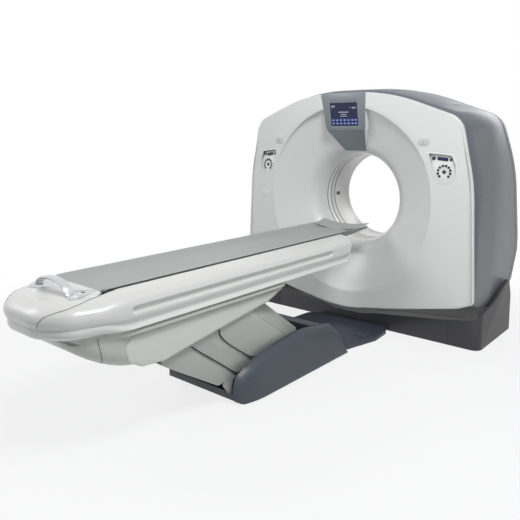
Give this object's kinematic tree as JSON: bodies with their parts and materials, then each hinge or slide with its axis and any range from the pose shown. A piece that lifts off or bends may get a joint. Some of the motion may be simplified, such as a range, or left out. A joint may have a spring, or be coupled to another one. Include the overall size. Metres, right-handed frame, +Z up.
{
  "type": "ct scanner",
  "caption": "Medical imaging scanner with a tilting ring gantry round an open bore, and a long patient table that rises on a folding lift and slides its cradle into the bore.",
  "frame": {"origin": "on the floor under the middle of the gantry bore, at the centre of the four floor anchors", "axes": "+X across the machine, to the right seen from the table; +Y along the bore, from the table into the gantry; +Z up"},
  "size_m": [2.144, 3.6779, 1.89],
  "materials": {
    "white_cover": "satin",
    "grey_cover": "satin",
    "dark_cover": "satin",
    "table_base_cover": "satin",
    "leg_cover": "satin",
    "lower_cover": "satin",
    "display_panel": "satin",
    "screen": "gloss",
    "keys": "satin",
    "lens": "gloss",
    "bore_ring": "satin",
    "scan_window": "translucent",
    "laser": "gloss",
    "cradle": "satin",
    "frame": "satin",
    "steel": "machined",
    "alloy": "machined",
    "handle": "polished",
    "footplate": "textured"
  },
  "bodies": {
    "floor": {"base_frame": "frame", "tilt_bearings": "steel", "base_front_cover": "dark_cover", "base_left_cover": "dark_cover", "base_right_cover": "dark_cover", "base_rear_cover": "dark_cover", "table_footplate": "footplate", "footplate_hatches": "footplate", "table_base_cover": "table_base_cover", "table_base_frame": "frame"},
    "tilting_gantry": {"tilt_frame": "frame", "front_cover": "white_cover", "display_panel": "display_panel", "display_screen": "screen", "left_keypad": "white_cover", "right_keypad": "white_cover", "key_displays": "screen", "status_lights": "lens", "service_cap": "white_cover", "top_cover": "grey_cover", "left_side_cover": "grey_cover", "right_side_cover": "grey_cover", "rear_cover": "grey_cover", "bore_ring_front": "bore_ring", "scan_window": "scan_window", "bore_liner": "bore_ring", "laser_windows": "laser", "main_bearing_outer": "steel"},
    "rotor": {"rotor_drum": "alloy", "main_bearing_inner": "steel", "xray_tube": "alloy", "collimator": "steel", "detector_array": "alloy", "hv_generator": "frame", "counterweight": "frame", "slip_ring": "alloy"},
    "upper_lift": {"lift_arm_upper": "frame", "leg_cover_upper": "leg_cover"},
    "middle_lift": {"leg_cover_middle": "leg_cover"},
    "lower_lift": {"lift_arm_lower": "frame", "leg_cover_lower": "leg_cover"},
    "table_top": {"table_frame": "frame", "table_upper_shell": "white_cover", "table_lower_cover": "lower_cover", "nose_lid": "white_cover", "release_handle": "handle"},
    "cradle_slide": {"cradle": "cradle", "cradle_carriage": "cradle"},
    "release_button": {"release_button": "keys"},
    "right_start_key": {"right_start_key": "keys"},
    "left_start_key": {"left_start_key": "keys"},
    "right_stop_key": {"right_stop_key": "keys"},
    "left_stop_key": {"left_stop_key": "keys"},
    "right_centre_key": {"right_centre_key": "keys"},
    "left_centre_key": {"left_centre_key": "keys"}
  },
  "joints": [
    {"name": "gantry_tilt", "type": "hinge", "parent": "floor", "child": "tilting_gantry", "pos_m": [0, 0, 1.015], "axis": [-1, 0, 0], "range_deg": [-30, 18]},
    {"name": "rotor_spin", "type": "hinge", "parent": "tilting_gantry", "child": "rotor", "pos_m": [0, 0.1, 1.015], "axis": [0, 1, 0], "continuous": true},
    {"name": "table_lift", "type": "hinge", "parent": "floor", "child": "upper_lift", "pos_m": [0, -1.333, 0.09], "axis": [-1, 0, 0], "range_deg": [-19, 10.75]},
    {"name": "middle_leg", "type": "hinge", "parent": "floor", "child": "middle_lift", "pos_m": [0, -1.65, 0.09], "axis": [-1, 0, 0], "range_deg": [-19, 10.75]},
    {"name": "lower_leg", "type": "hinge", "parent": "floor", "child": "lower_lift", "pos_m": [0, -1.89, 0.09], "axis": [-1, 0, 0], "range_deg": [-19, 10.75]},
    {"name": "table_level", "type": "hinge", "parent": "upper_lift", "child": "table_top", "pos_m": [0, -2.27588, 0.65654], "axis": [-1, 0, 0], "range_deg": [-10.75, 19]},
    {"name": "cradle_travel", "type": "slide", "parent": "table_top", "child": "cradle_slide", "axis": [0, 1, 0], "range_m": [0, 1.7]},
    {"name": "button_press", "type": "slide", "parent": "table_top", "child": "release_button", "axis": [0, 0, -1], "range_m": [0, 0.002], "stiffness_N_per_m": 800, "springref_m": -0.0005},
    {"name": "right_start_key_press", "type": "slide", "parent": "tilting_gantry", "child": "right_start_key", "axis": [-0.1318, 0.9846, -0.1149], "range_m": [0, 0.002], "stiffness_N_per_m": 800, "springref_m": -0.0005},
    {"name": "left_start_key_press", "type": "slide", "parent": "tilting_gantry", "child": "left_start_key", "axis": [0.1318, 0.9846, -0.1149], "range_m": [0, 0.002], "stiffness_N_per_m": 800, "springref_m": -0.0005},
    {"name": "right_stop_key_press", "type": "slide", "parent": "tilting_gantry", "child": "right_stop_key", "axis": [-0.1318, 0.9846, -0.1149], "range_m": [0, 0.002], "stiffness_N_per_m": 800, "springref_m": -0.0005},
    {"name": "left_stop_key_press", "type": "slide", "parent": "tilting_gantry", "child": "left_stop_key", "axis": [0.1318, 0.9846, -0.1149], "range_m": [0, 0.002], "stiffness_N_per_m": 800, "springref_m": -0.0005},
    {"name": "right_centre_key_press", "type": "slide", "parent": "tilting_gantry", "child": "right_centre_key", "axis": [-0.1318, 0.9846, -0.1149], "range_m": [0, 0.002], "stiffness_N_per_m": 800, "springref_m": -0.0005},
    {"name": "left_centre_key_press", "type": "slide", "parent": "tilting_gantry", "child": "left_centre_key", "axis": [0.1318, 0.9846, -0.1149], "range_m": [0, 0.002], "stiffness_N_per_m": 800, "springref_m": -0.0005}
  ],
  "couplings": [
    {"joint": "middle_leg", "follows": "table_lift", "ratio": 1},
    {"joint": "lower_leg", "follows": "table_lift", "ratio": 1},
    {"joint": "table_level", "follows": "table_lift", "ratio": -1}
  ]
}
